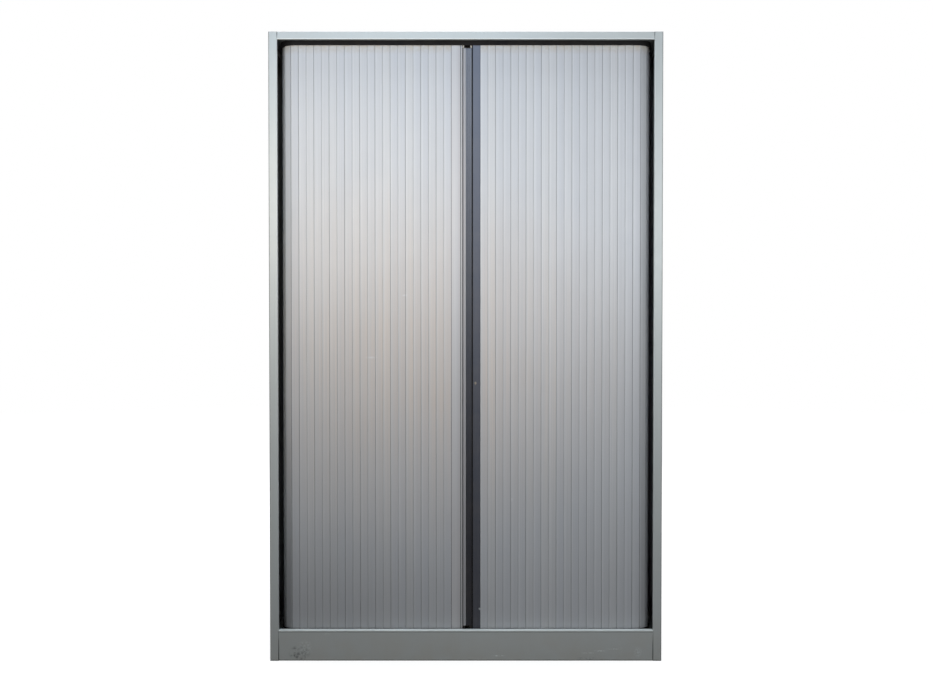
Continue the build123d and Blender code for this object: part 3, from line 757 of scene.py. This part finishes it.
class CUPBOARD_OT_left_stile(bpy.types.Operator):
    """Makes the silver stile with its flutes and grip, and the ribbed strip in the grip."""

    bl_idname = "cupboard.left_stile"
    bl_label = "Left stile"

    def execute(self, context):
        slats = context.scene.cupboard.slats
        stiles = context.scene.cupboard.stiles
        low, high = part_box("left_front_slats")
        strip_low, strip_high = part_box("left_grip_strip")
        face = low.y
        back = face + slats.thickness
        floor_y = face + stiles.flute_depth
        start = stiles.grip_start
        second = start + stiles.flute_spacing
        corners = [
            (start, floor_y),
            (start + stiles.flute_width, floor_y),
            (start + stiles.flute_width, face),
            (second, face),
            (second, floor_y),
            (second + stiles.flute_width, floor_y),
            (second + stiles.flute_width, face),
        ]
        flutes = slice(1, len(corners))
        corners += hinge_side(slats, face) + [(start, back)]
        radii = np.full(len(corners), SHARP)
        radii[flutes] = 0.3 * MM
        outline = rounded(corners, radii)
        outline[:, 0] *= -1
        made = bars("left_stile", [outline], low.z, high.z)
        grip = grip_outline(stiles, face, back)
        grip_bar = bars("left_stile_grip", [grip], strip_low.z, strip_high.z)
        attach(made, "left_door")
        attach(grip_bar, "left_door")
        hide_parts("left_lead_stile")
        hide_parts("left_lead_stile")
        strip = bars("left_strip", [strip_outline(stiles, face, back)], strip_low.z, strip_high.z)
        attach(strip, "left_door")
        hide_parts("left_grip_strip")
        return {"FINISHED"}


def grip_outline(stiles, face, back):
    """Outline of the grip: a slope to the nose, the strip's channel, and the edge under the strip's cap."""
    start = -stiles.grip_start
    nose = start + stiles.nose_shoulder
    channel = nose + stiles.nose_width
    nose_face = face - stiles.nose_rise
    corners = [
        (start, face),
        (nose, nose_face + stiles.nose_shoulder),
        (nose + stiles.nose_shoulder, nose_face),
        (channel, nose_face),
        (channel, face + stiles.channel),
        (stiles.reach - stiles.cap, face + stiles.channel),
        (stiles.reach - stiles.cap, back),
        (start, back),
    ]
    small = 0.1 * MM
    soft = stiles.nose_round
    return rounded(corners, [small, soft, soft, soft, small, small, small, small], 7)


def strip_outline(stiles, face, back):
    """Outline of the strip: a seat with two rounded ribs, and a cap that wraps the closing edge.

    Each corner holds its place and the radius of its arc.
    """
    fine = 0.1 * MM
    soft = 0.3 * MM
    bite = 0.02 * MM
    channel = -stiles.grip_start + stiles.nose_shoulder + stiles.nose_width
    channel_end = stiles.reach - stiles.edge_width
    middle = (channel + channel_end) / 2
    seat = face + stiles.channel - bite
    edge = face - stiles.edge_rise
    top = edge + stiles.strip_sink
    crest = top - stiles.rib_height
    inside = stiles.reach - stiles.cap + bite
    corners = [(channel + fine, seat, fine), (channel + fine, top, soft)]
    for rib in (-stiles.rib_spacing / 2, stiles.rib_spacing / 2):
        left = middle + rib - stiles.rib_width / 2
        right = middle + rib + stiles.rib_width / 2
        corners += [(left, top, fine), (left, crest, soft), (right, crest, soft), (right, top, fine)]
    corners += [
        (channel_end, top, fine),
        (channel_end, edge, 0.35 * MM),
        (stiles.reach, edge, stiles.nose_round),
        (stiles.reach, back, fine),
        (inside, back, fine),
        (inside, seat, fine),
    ]
    corners = np.array(corners)
    return rounded(corners[:, :2], corners[:, 2], 7)


class CUPBOARD_OT_right_stile(bpy.types.Operator):
    """Makes the anthracite stile and the rubber bead on its closing edge."""

    bl_idname = "cupboard.right_stile"
    bl_label = "Right stile"

    def execute(self, context):
        slats = context.scene.cupboard.slats
        stiles = context.scene.cupboard.stiles
        low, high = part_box("right_lead_stile")
        seal_low, seal_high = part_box("meeting_seal")
        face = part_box("right_front_slats")[0].y
        middle = face + slats.thickness / 2
        back = face + slats.thickness
        start = stiles.right_start
        corners = [(start, face)] + hinge_side(slats, face) + [(start, back)]
        radii = np.full(len(corners), SHARP)
        radii[0] = stiles.right_round
        radii[-1] = 0.5 * MM
        made = bars("right_stile", [rounded(corners, radii, 7)], low.z, high.z)
        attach(made, "right_door")
        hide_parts("right_lead_stile")
        half = stiles.seal / 2
        end = start - stiles.seal_reach
        bead = [(start, middle - half), (start, middle + half), (end, middle + half), (end, middle - half)]
        round_end = rounded(bead, [0.1 * MM, 0.1 * MM, half * 0.98, half * 0.98], 9)
        seal = bars("closing_seal", [round_end], seal_low.z, seal_high.z)
        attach(seal, "right_door")
        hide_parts("meeting_seal")
        return {"FINISHED"}


class CUPBOARD_OT_feet(bpy.types.Operator):
    """Makes the four levelling feet with their twelve-sided pads and threaded studs."""

    bl_idname = "cupboard.feet"
    bl_label = "Levelling feet"

    def execute(self, context):
        feet = context.scene.cupboard.feet
        rings = foot_rings(feet)
        for foot in FEET:
            low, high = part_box(f"levelling_foot_{foot}")
            centre = np.array(((low.x + high.x) / 2, (low.y + high.y) / 2, low.z))
            made = turned(f"foot_{foot}", rings + centre)
            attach(made, f"foot_{foot}")
            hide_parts(f"levelling_foot_{foot}")
        return {"FINISHED"}


def foot_rings(feet):
    """Rings of a foot round the Z axis, from its sole to the top of its stud.

    The pad's radius is R cos(s / 2) / cos(q - s / 2), where s is a twelfth of a turn and q the angle
    since the last corner. The stud's radius is crest - depth * (1 - |2 f - 1|), where f is the
    fraction of z / pitch - angle / turn, so its crest climbs one pitch in a turn.
    """
    angle = np.linspace(0, 2 * pi, 36, endpoint=False)
    side = pi / 6
    flats = np.cos(side / 2) / np.cos(angle % side - side / 2)
    quarter = np.linspace(0, pi / 2, 5)
    rim = feet.rim_round
    sole_r = feet.pad_radius - rim + rim * np.sin(quarter)
    sole_z = rim - rim * np.cos(quarter)
    pad_r = np.concatenate((sole_r, sole_r[::-1]))
    pad_z = np.concatenate((sole_z, feet.pad_height - sole_z[::-1]))
    pad_r = pad_r[:, None] * flats
    pad_z = np.repeat(pad_z[:, None], len(angle), axis=1)
    turns = feet.stud_length / feet.pitch
    stud_z = feet.pad_height + np.linspace(0, 1, int(turns * 6) + 1)[:, None] * feet.stud_length
    fraction = (stud_z / feet.pitch - angle / (2 * pi)) % 1
    stud_r = feet.stud_radius - feet.thread_depth * (1 - np.abs(2 * fraction - 1))
    stud_z = np.repeat(stud_z, len(angle), axis=1)
    radius = np.concatenate((pad_r, stud_r))
    rise = np.concatenate((pad_z, stud_z))
    return np.stack((radius * np.cos(angle), radius * np.sin(angle), rise), axis=-1)


class CUPBOARD_OT_finishes(bpy.types.Operator):
    """Gives every piece its finish."""

    bl_idname = "cupboard.finishes"
    bl_label = "Finishes"

    def execute(self, context):
        tones = context.scene.cupboard.finishes
        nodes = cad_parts
        # The two lighter tones below serve as painted highlights on folds and as real scuffs and scratches.
        pale = shade(tones.enamel, 1.35)
        bright = shade(tones.enamel, 1.7)
        dark = shade(tones.enamel, 0.55)
        # This tone and the two after it are painted shade, on folds, in seams, under the top flange, on the
        # uprights' returns and in the corners behind the tracks.
        dirt = shade(tones.enamel, 0.35)
        painted_seam_shade = shade(tones.enamel, 0.3)
        painted_shade = shade(tones.enamel, 0.1)
        # Each mark holds its centre, its half size and its tone.
        # A painted shade line along the bottom fold.
        sole = ((0.0, CASE_FRONT, 0.0), (ENDLESS, 0.01, 0.0035), dirt)
        across = [
            # Painted shade behind the top flange's return, and a painted highlight on the flange's lower
            # fold.
            ((0.0, -0.2035, 1.58), (ENDLESS, 0.011, 0.005), painted_shade),
            ((0.0, -0.2165, 1.5822), (ENDLESS, 0.004, 0.0017), pale),
            # A painted highlight on the plinth's ledge, and a painted shadow line under its fold.
            ((0.0, -0.2065, 0.0785), (ENDLESS, 0.011, 0.0035), bright),
            ((0.0, -0.216, 0.0738), (ENDLESS, 0.004, 0.0014), dark),
            sole,
        ]
        upright = [sole]
        corners = []
        for sign in (-1, 1):
            # Painted shade in the seams between each upright and the plinth and the top flange.
            seam = ((sign * SEAM, CASE_FRONT, 0.0), (0.0016, 0.012, 0.0755), painted_shade)
            top_seam = ((sign * SEAM, CASE_FRONT, CASE_TOP), (0.0014, 0.012, 0.0198), painted_seam_shade)
            across += [seam, top_seam]
            # Painted shade on the upright's inner return and along its outer fold.
            upright += [
                seam,
                top_seam,
                ((sign * 0.4775, -0.19, 0.8), (0.0022, 0.0242, ENDLESS), painted_shade),
                ((sign * CASE_SIDE, CASE_FRONT, 0.8), (0.0026, 0.003, ENDLESS), dirt),
            ]
            # Painted shade in the corners behind the tracks, at the bottom and the top.
            for z in (0.08, 1.57):
                upright.append(((sign * 0.4985, -0.12, z), (0.0012, 0.1, 0.09), painted_shade))
                corners.append(((sign * 0.49, -0.14, z), (0.045, 0.11, 0.07), painted_shade))
        # Scuffs on the plinth: place, half width, half height, grain in millimetres, strength, tone.
        scuffs = [
            ((x, CASE_FRONT, z), (wide, 0.02, tall), grain * MM, strength, mark)
            for x, z, wide, tall, grain, strength, mark in (
                (-0.425, 0.02, 0.03, 0.022, 7, 1.0, shade(tones.enamel, 0.2)),
                (-0.411, 0.034, 0.022, 0.024, 5, 0.75, pale),
                (0.313, 0.0205, 0.02, 0.0024, 4, 1.0, bright),
                (0.343, 0.0255, 0.02, 0.0022, 4, 1.0, bright),
                (0.375, 0.0305, 0.018, 0.002, 4, 0.9, bright),
                (0.31, 0.006, 0.03, 0.006, 5, 0.8, dark),
                (0.083, 0.013, 0.02, 0.0022, 4, 1.0, bright),
                (-0.354, 0.069, 0.01, 0.003, 3, 0.8, pale),
                (0.396, 0.032, 0.006, 0.022, 4, 0.4, pale),
                (0.44, 0.022, 0.012, 0.016, 4, 0.9, pale),
            )
        ]
        dust = tones.dust
        indoors = shade(tones.enamel, 0.98)
        enamel = stoved_enamel("stoved silver-grey enamel", tones.enamel, dust, across, scuffs)
        sides = stoved_enamel("stoved enamel of the sides", tones.enamel, dust, upright)
        inner = stoved_enamel("stoved enamel inside", indoors, dust)
        trays = stoved_enamel("stoved enamel of the trays", indoors, dust, corners)
        slats = slat_plastic("silver impact polystyrene", tones.slat, tones.slat_warm_light_tone, dust)
        silver = drawn_metal("satin anodised aluminium", tones.silver)
        grip = drawn_metal("dulled anodised aluminium", tones.grip)
        bare_spot = ((0.0355, SLAT_FACE, 0.128), (0.0035, 0.01, 0.004), shade(tones.enamel, 1.5))
        dusty_spot = ((0.0245, SLAT_FACE, 0.709), (0.004, 0.01, 0.005), dust)
        spots = (bare_spot, dusty_spot)
        # Painted light: the right stile grows lighter towards its top.
        painted_top_light = tones.anthracite_painted_top_light
        stile = moulded_plastic("anthracite PVC", tones.anthracite, dust, 0.5, 0.04, 0.2, spots, painted_top_light)
        # Painted highlights on the ribs' crests.
        strip_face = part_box("left_grip_strip")[0].y
        rubbed = shade(tones.strip, 2.2)
        crest_highlights = [((x, strip_face, 0.8), (0.0008, 0.0006, ENDLESS), rubbed) for x in (0.00385, 0.00825)]
        # Painted light: the strip grows lighter towards its top.
        painted_top_light = tones.strip_painted_top_light
        strip = moulded_plastic("soft anthracite PVC", tones.strip, dust, 0.55, 0.03, 0.15, crest_highlights, painted_top_light)
        track = moulded_plastic("black PVC", tones.track, dust, 0.65, 0.02, 0.12)
        # The glides' lugs, which run clean of grease.
        clean = shade(tones.nylon, 1.2)
        lugs = [((x, SLAT_FACE, 1.568), (0.0032, 0.02, 0.0065), clean) for x in (-0.0068, 0.0142)]
        nylon = moulded_plastic("greased nylon", tones.nylon_dark, dust, 0.6, 0.05, 0.2, lugs)
        rubber = moulded_plastic("black rubber", tones.rubber, dust, 0.7, 0.02, 0.2)
        zinc = plated_steel("zinc-plated steel", tones.zinc)
        give([name for name in nodes if name.endswith("_panel")], enamel)
        give(("left_side_panel", "right_side_panel"), sides)
        give([name for name in nodes if "inner" in name or "shelf" in name], inner)
        give(("floor_panel",), inner)
        give(("base_tray", "track_carrier"), trays)
        give([name for name in nodes if "rail" in name], track)
        give([name for name in nodes if "glide" in name], nylon)
        give(("shelf_clips", "foot_brackets"), zinc)
        give([name for name in nodes if name.startswith("levelling_foot")], zinc)
        give([f"foot_{foot}" for foot in FEET], zinc)
        give([name for name in nodes if "slats" in name], slats)
        for hand in ("left", "right"):
            give((f"{hand}_curtain", f"{hand}_pocket_curtain"), slats)
        give(("left_lead_stile", "left_stile"), silver)
        give(("left_stile_grip",), grip)
        give(("left_grip_strip", "left_strip"), strip)
        give(("right_lead_stile", "right_stile"), stile)
        give(("meeting_seal", "closing_seal"), rubber)
        bare = [name for name, node in nodes.items() if not node.material_slots]
        if bare:
            raise RuntimeError(f"no finish on {bare}")
        return {"FINISHED"}


class CUPBOARD_OT_studio(bpy.types.Operator):
    """Sets up the pale floor, the lamps, the room light and the camera."""

    bl_idname = "cupboard.studio"
    bl_label = "Studio"

    def execute(self, context):
        studio = context.scene.cupboard.studio
        scene = context.scene
        scene.view_settings.view_transform = "Standard"
        floor = studio_floor()
        key = (0.9, 0.5)
        warm = (1.0, 0.92, 0.82)
        cool = (0.95, 0.97, 1.0)
        sky = (0.42, 0.68, 1.0)
        daylight = (0.84, 0.93, 1.0)
        pale = (0.97, 0.99, 1.0)
        soft_box("left key", (-0.45, -1.05, 1.27), (-0.3, -0.2, 1.27), key, studio.left_key, warm)
        soft_box("right key", (0.6, -1.3, 1.22), (0.28, -0.2, 1.22), key, studio.right_key, cool)
        soft_box("high key", (-0.3, -1.1, 1.9), (-0.15, -0.2, 1.2), (1.2, 0.5), studio.high_key, sky)
        soft_box("overhead", (0.0, -0.45, 3.0), (0.0, -0.45, 0.0), (1.4, 0.3), studio.overhead, daylight)
        outer = (
            soft_box("left side", (-3.0, 0.6, 2.2), (-0.3, 0.0, 0.8), (1.6, 1.6), studio.side, pale),
            soft_box("right side", (3.0, 0.6, 2.2), (0.3, 0.0, 0.8), (1.6, 1.6), studio.side, pale),
            soft_box("rear", (0.0, 3.2, 2.0), (0.0, 0.0, 0.8), (2.0, 1.6), studio.rear, (1.0, 1.0, 1.0)),
        )
        for lamp in outer:
            # Its reflection would leave a white glare on the top sheet.
            lamp.visible_glossy = False
        room_light(scene, studio.ambient)
        data = bpy.data.cameras.new("camera")
        data.lens = studio.lens
        data.sensor_width = 36.0
        data.clip_end = 100.0
        camera = bpy.data.objects.new("camera", data)
        camera.location = studio.camera_place
        camera.rotation_euler = (pi / 2 - studio.camera_tilt, 0.0, 0.0)
        scene.collection.objects.link(camera)
        scene.camera = camera
        return {"FINISHED"}


def soft_box(name, place, target, size, power, tint):
    """Rectangular lamp at a place, turned towards a target, and not seen itself."""
    data = bpy.data.lights.new(name, "AREA")
    data.shape = "RECTANGLE"
    data.size, data.size_y = size
    data.energy = power
    data.color = tint
    lamp = bpy.data.objects.new(name, data)
    lamp.location = place
    lamp.rotation_euler = (Vector(target) - Vector(place)).to_track_quat("-Z", "Y").to_euler()
    lamp.visible_camera = False
    bpy.context.scene.collection.objects.link(lamp)
    return lamp


def seen_directly(tree):
    """1 for rays from the camera, in a reflection or through glass, 0 for light that falls."""
    path = add_node(tree, "ShaderNodeLightPath")
    seen = path.outputs["Is Camera Ray"]
    for ray in ("Is Glossy Ray", "Is Transmission Ray"):
        either = {0: seen, 1: path.outputs[ray]}
        seen = add_node(tree, "ShaderNodeMath", {"operation": "MAXIMUM"}, either).outputs[0]
    return seen


def studio_floor():
    """Round floor: points at radius * (cos, sin) on rings, closed to the middle, just under the base."""
    sides = 96
    angle = np.linspace(0, 2 * pi, sides, endpoint=False)
    radius = np.array([9.0, 0.5])[:, None]
    drop = np.full((2, sides), -0.4 * MM)
    rings = np.stack((radius * np.cos(angle), radius * np.sin(angle), drop), axis=-1)
    number = np.arange(2 * sides).reshape(2, sides)
    floor = mesh_object("floor", rings, walls(number) + [number[1].tolist()])
    material, tree, place = blank_material("pale matt floor")
    away = add_node(tree, "ShaderNodeVectorMath", {"operation": "LENGTH"}, {0: place}).outputs["Value"]
    glow = {"Value": away, "From Min": 0.6, "From Max": 2.2, "To Min": 0.86, "To Max": 1.0}
    strength = add_node(tree, "ShaderNodeMapRange", inputs=glow).outputs[0]
    pale = add_node(tree, "ShaderNodeEmission", inputs={"Color": (1, 1, 1, 1), "Strength": strength})
    shadowed = add_node(tree, "ShaderNodeBsdfDiffuse", inputs={"Color": (0.22, 0.22, 0.22, 1)})
    shown = add_node(tree, "ShaderNodeAddShader", inputs={0: pale.outputs[0], 1: shadowed.outputs[0]})
    falling = add_node(tree, "ShaderNodeBsdfDiffuse", inputs={"Color": (0.06, 0.06, 0.06, 1)})
    surface = add_node(
        tree,
        "ShaderNodeMixShader",
        inputs={0: seen_directly(tree), 1: falling.outputs[0], 2: shown.outputs[0]},
    )
    close_material(tree, surface)
    give(("floor",), material)
    return floor


def room_light(scene, ambient):
    """World: white where it is seen, a weak bluish light where it falls on things."""
    world = bpy.data.worlds.new("room")
    scene.world = world
    world.use_nodes = True
    tree = world.node_tree
    tree.nodes.clear()
    light = "ShaderNodeBackground"
    shown = add_node(tree, light, inputs={"Color": (1, 1, 1, 1), "Strength": 1.0})
    falling = add_node(tree, light, inputs={"Color": (0.94, 0.97, 1, 1), "Strength": ambient})
    mixed = add_node(
        tree,
        "ShaderNodeMixShader",
        inputs={0: seen_directly(tree), 1: falling.outputs[0], 2: shown.outputs[0]},
    )
    add_node(tree, "ShaderNodeOutputWorld", inputs={"Surface": mixed.outputs[0]})


class CUPBOARD_PT_panel(bpy.types.Panel):
    """Lists the cupboard's operators."""

    bl_idname = "CUPBOARD_PT_panel"
    bl_label = "Tambour cupboard"
    bl_space_type = "VIEW_3D"
    bl_region_type = "UI"
    bl_category = "Cupboard"

    def draw(self, context):
        for operator in OPERATORS:
            self.layout.operator(operator.bl_idname)


SETTINGS = (SlatSettings, StileSettings, FootSettings, FinishSettings, StudioSettings, CupboardSettings)
OPERATORS = (
    CUPBOARD_OT_curtains,
    CUPBOARD_OT_pockets,
    CUPBOARD_OT_left_stile,
    CUPBOARD_OT_right_stile,
    CUPBOARD_OT_feet,
    CUPBOARD_OT_finishes,
    CUPBOARD_OT_studio,
)


def register():
    """Registers the settings, the operators and the panel."""
    for item in SETTINGS + OPERATORS + (CUPBOARD_PT_panel,):
        bpy.utils.register_class(item)
    bpy.types.Scene.cupboard = PointerProperty(type=CupboardSettings)


def unregister():
    """Removes what register added."""
    del bpy.types.Scene.cupboard
    for item in reversed(SETTINGS + OPERATORS + (CUPBOARD_PT_panel,)):
        bpy.utils.unregister_class(item)


def main():
    register()
    bpy.ops.cupboard.curtains()
    bpy.ops.cupboard.pockets()
    bpy.ops.cupboard.left_stile()
    bpy.ops.cupboard.right_stile()
    bpy.ops.cupboard.feet()
    bpy.ops.cupboard.finishes()
    bpy.ops.cupboard.studio()


if __name__ == "__main__":
    main()
